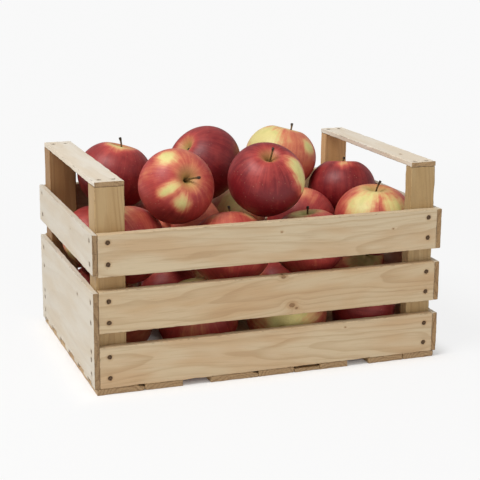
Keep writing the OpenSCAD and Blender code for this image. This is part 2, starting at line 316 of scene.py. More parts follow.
def makeBoard(node, along, finish, seed, pith=(4, -24), tilt=(0.02, 0.03), toneAndLight=(1, 1, 1),
              knots=(), dents=(), rough=1.0, wane=None, slots=None):
    # A sawn board in the space of its solid: a rounded block whose edges are unevenly worn,
    # whose faces dip a little and which is pitted round each nail that was driven into it
    low, high = (np.array(corner) * 1000 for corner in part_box(node))
    size = high - low
    rest = sorted([k for k in range(3) if k != along], key=lambda k: -size[k])
    across, depth = rest
    pits = []
    for group, (axis, side, outer) in nailGroups.items():
        flat = [k for k in range(3) if k != axis]
        face = high[axis] if side > 0 else low[axis]
        for spot in nailPlaces[group]:
            inside = all(low[k] - 0.1 < spot[k] < high[k] + 0.1 for k in flat)
            if inside and abs(face - outer) < 0.5:
                pits.append((axis, side, spot))
    extra = [[], [], []]
    for axis, side, spot in pits:
        for k in range(3):
            if k != axis and all(abs(spot[k] - other) > 1 for other in extra[k]):
                extra[k].append(spot[k])
    for a, c, radius in knots:
        extra[along].append(a)
        extra[across].append(c)
    steps = dict(zip((along, across, depth), crateLook["steps"]))
    lines = [edgeLines(low[k], high[k], steps[k], extra[k]) for k in range(3)]
    if slots:
        starts, roof = slots
        lines[along] = np.array([line for line in lines[along] if np.abs(starts - line).min() > 0.4])
        lines[along] = np.sort(np.concatenate([lines[along], starts - 0.2, starts + 0.2]))
    points, faces = blockGrid(lines)
    flatPoints = points.copy()
    gap = np.minimum(points - low, high - points)  # distance of each point from the block's six sides
    inFace = np.sort(gap, axis=1)[:, 1]  # distance from the nearest edge
    uneven = crateLook["wear"] * wobble(points, 22, seed) + 0.4 * wobble(points, 6, seed + 1)
    radius = crateLook["edge"] * (1 + uneven) * rough
    for place, reach, push in dents:
        radius += push * np.exp(-((np.linalg.norm(flatPoints - place, axis=1) / reach) ** 2))
    radius = np.clip(radius, 0.15, 0.49 * size[depth])[:, None]
    inner = np.clip(points, low + radius, high - radius)
    away = points - inner
    points = inner + away / np.maximum(np.linalg.norm(away, axis=1, keepdims=True), 1e-6) * radius
    dip = crateLook["hollow"] * (0.5 + 0.5 * wobble(flatPoints, 60, seed + 2)) * smooth(inFace, 0, 3)
    dip += 0.05 * rough * wobble(flatPoints, 7, seed + 3) * smooth(inFace, 0, 2)
    face = np.argmin(gap, axis=1)
    push = np.zeros_like(points)
    inward = np.where(flatPoints - low < high - flatPoints, 1.0, -1.0)
    rows = np.arange(len(points))
    push[rows, face] = inward[rows, face] * np.clip(dip, 0, 0.6)
    push[rows, face] *= gap[rows, face] < 0.01
    points = points + push
    nailGap = np.full(len(points), 30.0)
    for axis, side, spot in pits:
        flat = [k for k in range(3) if k != axis]
        distance = np.linalg.norm(flatPoints[:, flat] - spot[flat], axis=1)
        onFace = np.abs(flatPoints[:, axis] - (high[axis] if side > 0 else low[axis])) < 0.01
        sunk = 1 - smooth(distance, crateLook["pit"] - 0.7, crateLook["pit"] + 0.5)
        points[:, axis] -= side * onFace * crateLook["dimple"] * sunk
        nailGap = np.where(onFace, np.minimum(nailGap, distance), nailGap)
    if wane:
        # A bark edge: the top right edge slopes away from a wandering line, as deep as the solid's
        reach, drop = wane
        left = high[0] - reach * (0.75 + 0.25 * wobble(flatPoints * [0, 1, 0], 70, seed + 6))
        slope = np.clip((flatPoints[:, 0] - left) / np.maximum(high[0] - left, 1), 0, 1)
        top = high[2] - drop * slope ** 0.7
        points[:, 2] = np.minimum(points[:, 2], top)
    if slots:
        # The lower edge is pushed up to the slots' roof, and what lies just above it is squeezed
        squeeze = 2.5 * (roof - low[2])
        inSlot = np.searchsorted(starts, flatPoints[:, along]) % 2 == 1
        above = points[:, 2] - low[2]
        raised = squeeze - (squeeze - above) * (squeeze - (roof - low[2])) / squeeze
        points[:, 2] = np.where(inSlot & (above < squeeze), low[2] + raised, points[:, 2])
    knotRatio = np.full(len(points), 8.0)
    swirl = np.zeros(len(points))
    for a, c, width in knots:
        distance = np.hypot((flatPoints[:, along] - a) * 0.7, flatPoints[:, across] - c)
        knotRatio = np.minimum(knotRatio, distance / width)
        swirl += 2.6 * width * np.exp(-((distance / (width * 2.6)) ** 2))
    middle = (low + high) / 2
    run = flatPoints[:, along]
    bend = flatPoints * 0
    bend[:, 0] = run
    ahead = run - middle[along]
    beside = flatPoints[:, across] - middle[across] + pith[0] + tilt[0] * ahead
    beside = beside + 2.5 * wobble(bend, 260, seed + 4)
    below = flatPoints[:, depth] - middle[depth] + pith[1] + tilt[1] * ahead
    below = below + 2.5 * wobble(bend, 330, seed + 5) - swirl
    grain = np.stack([run + seed * 37.0, beside, below], 1)
    endward = np.minimum(flatPoints[:, along] - low[along], high[along] - flatPoints[:, along])
    marks = np.stack([knotRatio, nailGap, 1 - smooth(endward, 0.02, 0.3)], 1)
    skirt = np.stack([inFace, run * 0, run * 0], 1)
    # Each board's colour factor: its own tone, with painted shade on the back left post and painted light on
    # the back right post and right handle bar
    hue = np.tile(np.array(toneAndLight, float), (len(points), 1))
    attributes = {"grain": grain, "marks": marks, "skirt": skirt, "hue": hue}
    piece = makePiece(node + "_wood", points, faces, [finish], attributes=attributes)
    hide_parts(node)
    return piece


def woodFinish(name, look):
    # Raw softwood. Growth rings are the distance from the board's own pith line, bent by slow noise;
    # each ring darkens slowly and ends sharply. Fibres, flecks, knots, brown stains and painted pit shade
    # round the nails, and end grain lie over it
    material, shader, begin = startMaterial(name)
    grain = readAttribute(begin, "grain")
    along, across, depth = grain.parts()
    knot, nail, end = readAttribute(begin, "marks").parts()
    skirt = readAttribute(begin, "skirt").parts()[0]
    slow = grain.noise((0.007, 0.035, 0.035), 2.0)
    reach = (across * across + depth * depth) ** 0.5 + slow * look["waver"]
    phase = reach / look["spacing"]
    within = phase.math("FRACT", phase)
    whole = phase - within
    ringTone = begin.make("ShaderNodeTexWhiteNoise", {"noise_dimensions": "1D"}, {"W": whole})
    late = within.rise(0.45, 0.94) * (1 - within.rise(0.93, 1.0)) * (0.35 + 0.65 * ringTone)
    broad = grain.noise((0.011, 0.05, 0.05), 2.0)
    fibre = grain.noise((0.05, 1.7, 1.7), 3.0, 0.6)
    hair = grain.noise((0.02, 0.55, 0.55), 2.0)
    fleck = grain.noise((0.3, 2.6, 2.6), 1.0).rise(0.74, 0.8)
    colour = begin.between(broad.rise(0.35, 0.68), look["pale"], look["warm"])
    colour = colour.tint(late * look["contrast"], look["late"])
    colour = colour.tint(hair.rise(0.52, 0.72) * 0.5 * look["contrast"], look["late"])
    colour = colour.bright(0.9 + 0.2 * fibre)
    colour = colour.tint(fleck * look["flecks"], look["dark"])
    knotEdge = knot + (grain.noise((0.3, 0.5, 0.5), 2.0) - 0.5) * 0.7
    knotFace = 1 - knotEdge.rise(0.75, 1.15)
    halo = (1 - knotEdge.rise(1.0, 2.6)) * 0.4
    colour = colour.tint(halo, look["halo"])
    rings = (knotEdge * 14.0).math("SINE", knotEdge * 14.0) * 0.5 + 0.5
    colour = colour.tint(knotFace * (0.65 + 0.3 * rings), look["knot"])
    apart = knotEdge - 0.95
    crack = 1 - apart.math("ABSOLUTE", apart).rise(0.02, 0.16)
    crack = crack * grain.noise((0.2, 0.3, 0.3), 1.0).rise(0.45, 0.6)
    colour = colour.tint(crack * 0.8, look["dark"])
    endRings = late * 0.55 + grain.noise((0.4, 0.7, 0.7), 3.0, 0.7).rise(0.35, 0.75) * 0.45
    endColour = begin.between(endRings, look["end"], look["endDark"])
    split = grain.noise((0.1, 0.9, 0.12), 3.0, 0.6)
    endColour = endColour.tint(split.rise(0.66, 0.72) * 0.8, look["dark"])
    colour = colour.tint(end, endColour)
    rim = (1 - skirt.rise(0.15, 1.3)) * grain.noise((0.16, 0.3, 0.3), 3.0, 0.65).rise(0.5, 0.68)
    colour = colour.tint(rim * look["rim"], look["dark"])
    # Round each nail: a faint brown stain halo, and within it a dark ring in the pit round the head that is
    # painted shade
    nailMarkEdge = nail + (grain.noise((0.45, 0.9, 0.9), 2.0) - 0.5) * 2.4
    colour = colour.tint((1 - nailMarkEdge.rise(2.4, 5.4)) * 0.3, look["halo"])
    colour = colour.tint((1 - nailMarkEdge.rise(1.8, 3.0)) * 0.85, look["pitShade"])
    colour = colour.tint(1.0, readAttribute(begin, "hue"), "MULTIPLY")
    roughness = look["gloss"] + 0.14 * fibre + 0.1 * end
    scratch = grain.noise((0.8, 0.05, 0.05), 2.0) if look["saw"] else fibre
    height = fibre * 0.5 + hair * 0.35 + late * 0.25 - fleck * 0.4 - crack
    height = height - knotFace * 0.3 + scratch * look["saw"]
    height = height + end * grain.noise((0.2, 1.2, 1.2), 3.0, 0.7) * 1.2
    finishMaterial(shader, begin, colour, roughness, height, look["relief"])
    return material


slatLook = {
    "pale": srgb(204, 185, 153), "warm": srgb(196, 167, 130),  # early wood, in broad patches
    "late": srgb(168, 136, 96), "contrast": 0.5,  # late wood, and how strongly it shows
    "spacing": 3.6, "waver": 13.0,  # a ring's width and how far the rings wander, in millimetres
    "dark": srgb(72, 48, 26), "flecks": 0.35, "rim": 0.55,  # dirt, in specks and along the edges
    # the knots' colour, the brown halo round knots and nails, and the painted shade in the pits round nail
    # heads
    "knot": srgb(128, 92, 54), "halo": srgb(168, 126, 78), "pitShade": srgb(66, 44, 22),
    "end": srgb(172, 142, 104), "endDark": srgb(112, 82, 50),
    "gloss": 0.55, "saw": 0.0, "relief": 0.00022,
}
# Painted light: the end boards and handle bars are paler and greyer than the slats, standing in for the key
# lamp's stronger light on their left and top faces and the sheen seen at a grazing angle
litPaleLook = dict(
    slatLook, pale=srgb(222, 214, 200), warm=srgb(217, 204, 184), late=srgb(198, 180, 155),
    halo=srgb(190, 170, 142), contrast=0.26, spacing=6.5)
postLook = dict(
    slatLook, pale=srgb(186, 160, 117), warm=srgb(176, 145, 98), late=srgb(146, 112, 68),
    contrast=0.5, spacing=3.4, waver=9.0, saw=0.25, relief=0.0003)
floorLook = dict(
    slatLook, pale=srgb(190, 160, 118), warm=srgb(178, 142, 98), contrast=0.6, saw=0.4, relief=0.0003)
slatWood = woodFinish("slatWood", slatLook)
litPaleWood = woodFinish("litPaleWood", litPaleLook)
postWood = woodFinish("postWood", postLook)
floorWood = woodFinish("floorWood", floorLook)

# Long slats: x runs along them and z across. A knot is a place along, a place across and a radius;
# a dent is a place on an edge, its reach and how much more the edge is broken away there
slats = {
    "front_top_slat": {
        "seed": 11, "pith": (9, -30), "tilt": (0.015, 0.02), "knots": [(133, 147, 0.8), (7, 153, 0.8)],
    },
    "front_middle_slat": {
        "seed": 23, "pith": (-6, -22), "tilt": (-0.03, 0.02), "toneAndLight": (0.96, 0.92, 0.87),
        "knots": [(10, 105.5, 1.8), (20, 74.5, 2.3), (25, 70.5, 1.2)],
        "dents": [((8, -128, 107), 5, 1.6), ((82, -128, 107), 7, 1.3), ((-144, -128, 64), 4, 1.0)],
    },
    "front_bottom_slat": {
        "seed": 37, "pith": (3, -26), "tilt": (0.05, 0.01), "toneAndLight": (0.98, 0.96, 0.94),
        "knots": [(81, 44, 0.8)], "dents": [((-142, -128, 6.5), 10, 1.5), ((108, -128, 6.5), 6, 1.0)],
    },
    "back_top_slat": {"seed": 41, "pith": (-7, 28), "tilt": (0.02, -0.03), "knots": [(-60, 140, 4.0)]},
    "back_middle_slat": {
        "seed": 53, "pith": (5, 24), "tilt": (-0.02, 0.03), "knots": [(95, 80, 5.0), (-120, 96, 2.0)],
    },
    "back_bottom_slat": {"seed": 67, "pith": (-4, 30), "tilt": (0.03, 0.02), "knots": [(-25, 22, 3.0)]},
}
for node, look in slats.items():
    makeBoard(node, 0, slatWood, **look)
# End boards and handle bars: y runs along them, in the finish painted paler for the light on their left and
# top faces. endTone takes some of that painted light back on the two left boards
endTone, rightTone = (0.85, 0.84, 0.82), (0.93, 0.88, 0.8)
ends = {
    "left_panel": {
        "seed": 71, "pith": (10, 60), "tilt": (0.03, 0.02), "toneAndLight": endTone,
        "knots": [(-57, 86, 1.6)], "slots": slotEdges("left_panel"),
    },
    "left_top_board": {
        "seed": 83, "pith": (-5, 40), "tilt": (0.02, 0.02), "toneAndLight": endTone, "knots": [(-31, 149, 0.9)],
    },
    "right_bottom_board": {
        "seed": 89, "pith": (5, -30), "tilt": (0.03, 0.01), "toneAndLight": rightTone, "knots": [(40, 30, 3.0)],
    },
    "right_middle_board": {"seed": 97, "pith": (-8, -28), "tilt": (-0.02, 0.03), "toneAndLight": rightTone},
    "right_top_board": {
        "seed": 101, "pith": (6, -26), "tilt": (0.02, -0.02), "toneAndLight": rightTone,
        "knots": [(-50, 140, 2.2)],
    },
    "left_handle_bar": {"seed": 103, "pith": (4, 30), "tilt": (0.02, 0.02)},
    "right_handle_bar": {
        # Painted light: this bar's tone lightens it further, for the light on its top
        "seed": 107, "pith": (-5, 26), "tilt": (0.03, 0.02), "toneAndLight": (1.06, 1.05, 1.04),
        "knots": [(-70, 168, 1.6)],
    },
}
for node, look in ends.items():
    makeBoard(node, 1, litPaleWood, **look)
# Posts: z runs along them
posts = {
    "front_left_post": {"seed": 113, "pith": (3, 22), "rough": 1.2, "toneAndLight": (0.95, 0.9, 0.85)},
    # Painted shade: this post's tone darkens it, standing in for the shade on its front face inside the crate
    "back_left_post": {"seed": 127, "pith": (-6, 20), "rough": 1.2, "toneAndLight": (0.7, 0.55, 0.45)},
    "front_right_post": {"seed": 131, "pith": (5, 16), "rough": 1.5},
    # Painted light: this post's tone brightens it, standing in for the light on its front face
    "back_right_post": {"seed": 137, "pith": (-4, 18), "rough": 1.2, "toneAndLight": (1.35, 1.1, 0.95)},
}
for node, look in posts.items():
    makeBoard(node, 2, postWood, **look)
waneEdges = {1: (10, 2.5), 3: (10, 2.5)}  # how wide and how deep the bark edge of a board is
for number in range(1, 9):
    look = {"pith": (3 - number % 3 * 5, 14 + number % 4 * 6), "rough": 1.3, "wane": waneEdges.get(number)}
    board = makeBoard("floor_board_%d" % number, 1, floorWood, 140 + number * 7, **look)
print("boards made")


def steelFinish():
    # Browned wire steel: dark rust in patches over dull metal
    material, shader, begin = startMaterial("nailSteel")
    place = begin.make("ShaderNodeTexCoord", out="Object")
    rust = place.noise((900, 900, 900), 3.0, 0.6).rise(0.4, 0.62)
    colour = begin.between(rust, srgb(104, 80, 56), srgb(62, 40, 24))
    finishMaterial(shader, begin, colour, 0.45 + 0.35 * rust, place.noise((1500, 1500, 1500), 2.0), 0.0001)
    begin.tree.links.new((0.7 - 0.6 * rust).socket, shader.inputs["Metallic"])
    return material


nailSteel = steelFinish()
nailLook = {"head": 2.1, "dome": 0.25, "shank": 0.8, "sides": 20}


def lathe(profile, sides):
    # A profile of (radius, height) turned round Z, with its first and last points on the axis
    turn = np.arange(sides) * 2 * np.pi / sides
    ring = profile[1:-1]
    points = [ring[:, :1] * np.cos(turn), ring[:, :1] * np.sin(turn), np.repeat(ring[:, 1:], sides, 1)]
    points = np.stack(points, -1).reshape(-1, 3)
    points = np.vstack([points, [0, 0, profile[0, 1]], [0, 0, profile[-1, 1]]])
    return points, ringFaces(len(ring), sides)


for group, (axis, side, outer) in nailGroups.items():
    length = np.ptp(np.array(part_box(group)), axis=0)[axis] * 1000
    head, dome, shank = nailLook["head"], nailLook["dome"], nailLook["shank"]
    profile = np.array([(0, -dome), (head * 0.6, -dome * 0.8), (head, 0), (head * 0.98, 0.7),
                        (shank, 1.0), (shank, length - 2), (0, length)])
    shape, shapeFaces = lathe(profile[::-1], nailLook["sides"])
    spots = nailPlaces[group]
    draw = np.random.default_rng(len(group))
    points, faces = [], []
    for number, spot in enumerate(spots):
        lean = draw.normal(0, 0.05, 2)
        turned = shape.copy()
        turned[:, 2] -= (shape[:, 0] * lean[0] + shape[:, 1] * lean[1]) * (shape[:, 2] < 1)
        order = {0: [2, 0, 1], 1: [1, 2, 0], 2: [0, 1, 2]}[axis]
        local = turned[:, order]
        local[:, axis] *= -side
        head = spot.copy()
        head[axis] = (spot[axis] + side * length / 2)
        points.append(local + head)
        faces.append((shapeFaces if side < 0 else shapeFaces[:, [1, 0, 3, 2]]) + number * len(shape))
    piece = makePiece(group + "_steel", np.vstack(points), np.vstack(faces), [nailSteel])
    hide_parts(group)
print("nails made")


appleLook = {
    "rows": 66, "sides": 96,
    # Shares of the radius, and how many degrees each form spreads over, as in the solids
    "flat": 0.055, "shoulder": (0.08, 34), "funnel": (0.32, 15), "blossom": (0.2, 11),
    "taper": (0.06, 85, 80),  # narrowing to the base, from which angle and over how many degrees
    "throat": (0.12, 6),  # a narrow pit at the stem, inside the funnel
    "lobes": 0.03, "slope": 0.02,  # five soft bumps at the base and one low side
}


def skinShare(t):
    # Share of its radius at which an apple's skin lies t degrees from the stem, and how far it is narrowed
    # there: a flattened ball less a bell-shaped hollow at each end and a low wide shoulder
    look = appleLook
    share = np.ones_like(t, dtype=float)
    for name, turn in (("funnel", t), ("shoulder", t), ("blossom", 180 - t)):
        depth, spread = look[name]
        share -= depth * np.exp(-((turn / spread) ** 2))
    share /= np.hypot(np.sin(np.radians(t)), np.cos(np.radians(t)) / (1 - look["flat"]))
    return share, 1 - look["taper"][0] * (np.maximum(t - look["taper"][1], 0) / look["taper"][2]) ** 2


def applePose(node):
    # Centre, radius, stem direction and stem end of a solid apple, found by moving, turning and scaling the
    # profile above until the solid's points lie on it, in small least-squares steps from a ball's fit
    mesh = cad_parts[node].data
    points = np.empty(len(mesh.vertices) * 3, np.float32)
    mesh.vertices.foreach_get("co", points)
    points = np.unique(np.round(points.reshape(-1, 3) * 1000, 3), axis=0).astype(float)
    system = np.column_stack([2 * points, np.ones(len(points))])
    answer = np.linalg.lstsq(system, (points ** 2).sum(1), rcond=None)[0]
    middle = answer[:3]
    away = points - middle
    deep = away[np.argsort(np.linalg.norm(away, axis=1))[:60]]
    axis = deep.mean(0) / np.linalg.norm(deep.mean(0))
    turn = np.linspace(0, 180, 361)
    share, narrow = skinShare(turn)
    x, z = share * narrow * np.sin(np.radians(turn)), share * np.cos(np.radians(turn))
    angles, shares = np.arctan2(x, z), np.hypot(x, z)
    state = np.array([*middle, math.sqrt(answer[3] + middle @ middle), 0.0, 0.0])
    side = np.cross(axis, [0.3, 0.5, 0.8])
    side /= np.linalg.norm(side)
    other = np.cross(axis, side)

    def miss(state):
        stem = axis + state[4] * side + state[5] * other
        stem = stem / np.linalg.norm(stem)
        away = points - state[:3]
        up = away @ stem
        beside = np.linalg.norm(away - up[:, None] * stem, axis=1)
        return np.hypot(up, beside) - state[3] * np.interp(np.arctan2(beside, up), angles, shares), stem, up

    steps = np.diag([0.01, 0.01, 0.01, 0.01, 0.0005, 0.0005])
    for reach in (9, 6, 4, 3, 2, 1.5, 1, 1, 1):
        off = miss(state)[0]
        slopes = np.stack([(miss(state + step)[0] - off) / step.sum() for step in steps], 1)
        near = np.abs(off) < reach
        state = state - np.linalg.lstsq(slopes[near], off[near], rcond=None)[0]
    off, stem, up = miss(state)
    twig = points[(off > 2) & (up > 0)]
    foot = state[:3] + stem * state[3] * skinShare(np.zeros(1))[0]
    length = np.linalg.norm(twig - foot, axis=1)
    tip = twig[length > length.max() - 1.0].mean(0)
    misfit = np.abs(off[np.abs(off) < 1]).mean()
    print(node, "radius %.1f, misfit %.3f, stem %.1f" % (state[3], misfit, length.max()))
    return state[:3], state[3], stem, tip


def appleSkin(radius, seed):
    # The skin over the angle from the stem and the turn round it: the solids' profile with a deeper throat,
    # five soft bumps at the base, and a little low on one side
    look = appleLook
    draw = np.random.default_rng(seed)
    even = np.linspace(0, 1, look["rows"])
    fall = 180 * (even - 0.12 * np.sin(2 * np.pi * even))
    turn = np.arange(look["sides"]) * 2 * np.pi / look["sides"]
    lobes = look["lobes"] * draw.uniform(0.6, 1.3)
    phase = draw.uniform(0, 2 * np.pi, 4)

    def reach(t, f):
        share, narrow = skinShare(t)
        share = share - look["throat"][0] * np.exp(-((t / look["throat"][1]) ** 2))
        share -= lobes * (0.5 - 0.5 * np.cos(5 * f + phase[0])) * smooth(t, 70, 150)
        share -= look["slope"] * (0.5 - 0.5 * np.cos(f + phase[1])) * np.exp(-(((t - 38) / 26) ** 2))
        share -= 0.01 * (0.5 - 0.5 * np.cos(2 * f + phase[2])) * smooth(t, 10, 60)
        return share * radius, narrow

    t, f = np.meshgrid(fall[1:-1], turn, indexing="ij")
    grow, narrow = reach(t, f)
    a = np.radians(t)
    beside = grow * np.sin(a) * narrow
    points = np.stack([beside * np.cos(f), beside * np.sin(f), grow * np.cos(a)], -1).reshape(-1, 3)
    top, bottom = reach(np.zeros(1), 0)[0][0], reach(np.full(1, 180.0), 0)[0][0]
    points = np.vstack([points, [0, 0, top], [0, 0, -bottom]])
    meridian = np.stack([np.cos(f), np.sin(f), t / 180], -1).reshape(-1, 3)
    meridian = np.vstack([meridian, [0, 0, 0], [0, 0, 1]])
    return points, ringFaces(look["rows"] - 2, look["sides"], True), meridian


stemLook = {"rings": 16, "sides": 12, "girth": 0.95, "tip": 1.75, "foot": 1.4, "sway": 0.07}


def stemTube(start, tip, seed):
    # A woody stem in the apple's own space: a round profile along a curve that leaves the throat upright and
    # bends over to its tip, thick at its foot and flared at its cut end
    look = stemLook
    draw = np.random.default_rng(seed)
    foot = np.array([0, 0, start])
    long = np.linalg.norm(tip - foot)
    along = np.linspace(0, 1, look["rings"])[:, None]
    bend = foot + [0, 0, 0.5 * long] + draw.normal(0, look["sway"], 3) * long * [1, 1, 0]
    path = foot * (1 - along) ** 2 + bend * 2 * along * (1 - along) + tip * along ** 2
    ahead = np.gradient(path, axis=0)
    ahead /= np.linalg.norm(ahead, axis=1, keepdims=True)
    across = np.cross(ahead, [0, 1, 0.1])
    across /= np.linalg.norm(across, axis=1, keepdims=True)
    over = np.cross(ahead, across)
    girth = look["girth"] + (look["foot"] - look["girth"]) * np.exp(-((along / 0.1) ** 2))
    girth += (look["tip"] - look["girth"]) * np.exp(-(((along - 1) / 0.1) ** 2))
    girth[-1] *= 0.8
    turn = np.arange(look["sides"]) * 2 * np.pi / look["sides"]
    uneven = 1 + 0.1 * np.sin(turn * 3 + seed) + 0.06 * np.sin(turn * 5)
    ring = across[:, None] * (np.cos(turn) * uneven)[None, :, None]
    ring = ring + over[:, None] * (np.sin(turn) * uneven)[None, :, None]
    points = (path[:, None] + ring * girth[:, None]).reshape(-1, 3)
    points = np.vstack([points, foot - [0, 0, 0.3], tip + ahead[-1] * 0.2])
    share = np.concatenate([np.repeat(along[:, 0], look["sides"]), [0, 1]])
    return points, ringFaces(look["rings"], look["sides"]), np.stack([share * 0, share * 0, share], 1)


def sepals(depth, seed):
    # Five dry sepals in the blossom's basin: each a small curled leaf, wide at its foot and pointed,
    # drawn as two grids of width and length
    draw = np.random.default_rng(seed)
    u, v = np.meshgrid(np.linspace(-1, 1, 5), np.linspace(0, 1, 7), indexing="ij")
    points, faces = [], []
    quad = gridFaces(np.arange(u.size).reshape(u.shape))
    for number in range(5):
        turn = number * 1.2566 + draw.normal(0, 0.1)
        out = 0.6 + 4.6 * v * (1 - 0.25 * v)
        width = 1.5 * (1 - v) ** 0.7 + 0.05
        curl = -2.2 * v + 2.6 * v ** 2 + 0.5 * np.abs(u) * (1 - v)
        leaf = np.stack([out, u * width, curl], -1).reshape(-1, 3)
        for lift in (0, 0.25):
            shell = leaf + [0, 0, lift]
            x = shell[:, 0] * math.cos(turn) - shell[:, 1] * math.sin(turn)
            y = shell[:, 0] * math.sin(turn) + shell[:, 1] * math.cos(turn)
            faces.append((quad if lift else quad[:, ::-1]) + u.size * len(points))
            points.append(np.stack([x, y, shell[:, 2] - depth - 0.3], 1))
    return np.vstack(points), np.vstack(faces)


def stemFinish():
    # Woody stem: green-brown, darker along its ridges and nearly black at the cut end
    material, shader, begin = startMaterial("stemBark")
    share = readAttribute(begin, "meridian").parts()[2]
    place = begin.make("ShaderNodeTexCoord", out="Object")
    ridge = place.noise((500, 500, 500), 3.0, 0.6)
    colour = begin.between(ridge.rise(0.35, 0.65), srgb(126, 96, 48), srgb(74, 52, 26))
    colour = colour.tint(share.rise(0.78, 0.96) * 0.9, srgb(40, 30, 20))
    finishMaterial(shader, begin, colour, 0.6 + ridge * 0.2, ridge, 0.0003)
    return material


def skinFinish(name, middle, axis, look):
    # Waxy apple skin. A level from 0, the yellow-green ground, to 1, the deepest red, is worked out over the
    # skin and coloured by a ramp: slow patches, pole-to-pole streaks and a painted shade that deepens the
    # lower side raise and lower it, chosen bare places and the stem's hollow bring it down, and pale pores
    # lie over all
    material, shader, begin = startMaterial(name)
    place = begin.make("ShaderNodeTexCoord", out="Object")
    ball = begin.vector("NORMALIZE", begin.vector("SUBTRACT", place, tuple(middle * 0.001)))
    meridian = readAttribute(begin, "meridian")
    fall = meridian.parts()[2]
    shift = look["seed"] * 3.7
    moved = begin.vector("ADD", ball, (shift, shift * 0.5, -shift))
    lines = begin.vector("ADD", meridian, (shift, -shift, 0))
    slow = moved.noise((1.5, 1.5, 1.5), 2.0)
    patchy = moved.noise((4.5, 4.5, 4.5), 3.0)
    streak = lines.noise((9, 9, 2.2), 3.0, 0.6)
    fine = lines.noise((30, 30, 4), 2.0, 0.6)
    hollow = begin.vector("DISTANCE", ball, tuple(axis), out="Value")
    # Painted shade: the level rises towards the lower side, so each apple's underside is painted a deeper,
    # darker red
    shadeward = begin.vector("DOT_PRODUCT", ball, look["shadeSide"], out="Value")
    level = shadeward * look["shadeShare"] + (slow - 0.5) * look["patchy"] + (patchy - 0.5) * 0.25
    level = level + look["level"]
    level = level + (streak + fine * 0.7 - 0.85) * look["streak"] * (0.4 + 0.6 * hollow.rise(0.1, 0.7))
    for bare, size, depth in look["bare"]:
        away = begin.vector("DISTANCE", ball, tuple(Vector(bare).normalized()), out="Value")
        ragged = away + (patchy - 0.5) * size * 0.55 + (streak - 0.5) * size * 0.4
        level = level - (1 - ragged.rise(0.0, size * 1.75)) * depth * 1.2
    rim = hollow + (streak - 0.5) * 0.12
    level = level - (1 - rim.rise(look["cup"] * 0.2, look["cup"] * 1.3)) * look["cupShare"]
    level = level.most(0.0).least(1.0)
    colour = begin.make("ShaderNodeValToRGB", {"stops": look["ramp"]}, {0: level})
    green = moved.noise((2.5, 2.5, 2.5), 1.0).rise(0.5, 0.7) * (1 - level.rise(0.0, 0.3))
    colour = colour.tint(green * 0.35, look["green"])
    colour = colour.tint((1 - hollow.rise(0.04, look["cup"])) * 0.65, look["olive"])
    colour = colour.tint((1 - hollow.rise(0.0, 0.17)) * 0.8, look["throat"])
    mottle = moved.noise((30, 30, 30), 2.0)
    colour = colour.bright(0.9 + 0.2 * mottle)
    cells = {"Vector": moved, "Scale": 13.0, "Randomness": 1.0}
    pores = begin.make("ShaderNodeTexVoronoi", {"feature": "F1"}, cells, out="Distance")
    pick = moved.noise((6, 6, 6), 1.0).rise(0.42, 0.62)
    dots = (1 - pores.rise(0.07, 0.15)) * pick * hollow.rise(0.25, 0.6)
    colour = colour.tint(dots * look["pores"], look["pore"])
    basin = fall.rise(0.955, 0.985)
    colour = colour.tint(basin * 0.6, srgb(96, 84, 44))
    roughness = look["gloss"] + 0.1 * patchy + 0.1 * dots + (1 - hollow.rise(0.1, 0.4)) * 0.2
    height = mottle * 0.5 + patchy * 1.0 + dots * 0.3
    finishMaterial(shader, begin, colour, roughness, height, 0.0003)
    shader.inputs["Specular IOR Level"].default_value = 0.42
    return material


redRamp = [(0.0, srgb(222, 209, 138)), (0.22, srgb(222, 182, 122)), (0.45, srgb(208, 120, 88)),
           (0.68, srgb(178, 66, 60)), (1.0, srgb(116, 20, 27))]
skinLook = {
    "ramp": redRamp, "level": 0.72, "patchy": 0.5, "streak": 0.32,  # how red it is, and how unevenly
    "shadeSide": (0, 0.1, -0.9), "shadeShare": 0.12,  # painted shade: the lower side that is painted deeper red, and by how much
    "bare": [], "cup": 0.5, "cupShare": 0.5,  # places with less red, and those round the stem
    "throat": srgb(78, 76, 32), "olive": srgb(152, 146, 74), "green": srgb(184, 184, 104),
    "pore": srgb(232, 190, 150), "pores": 0.4, "gloss": 0.42,
    "twig": 1.0,  # share of the solid's stem that is kept
}
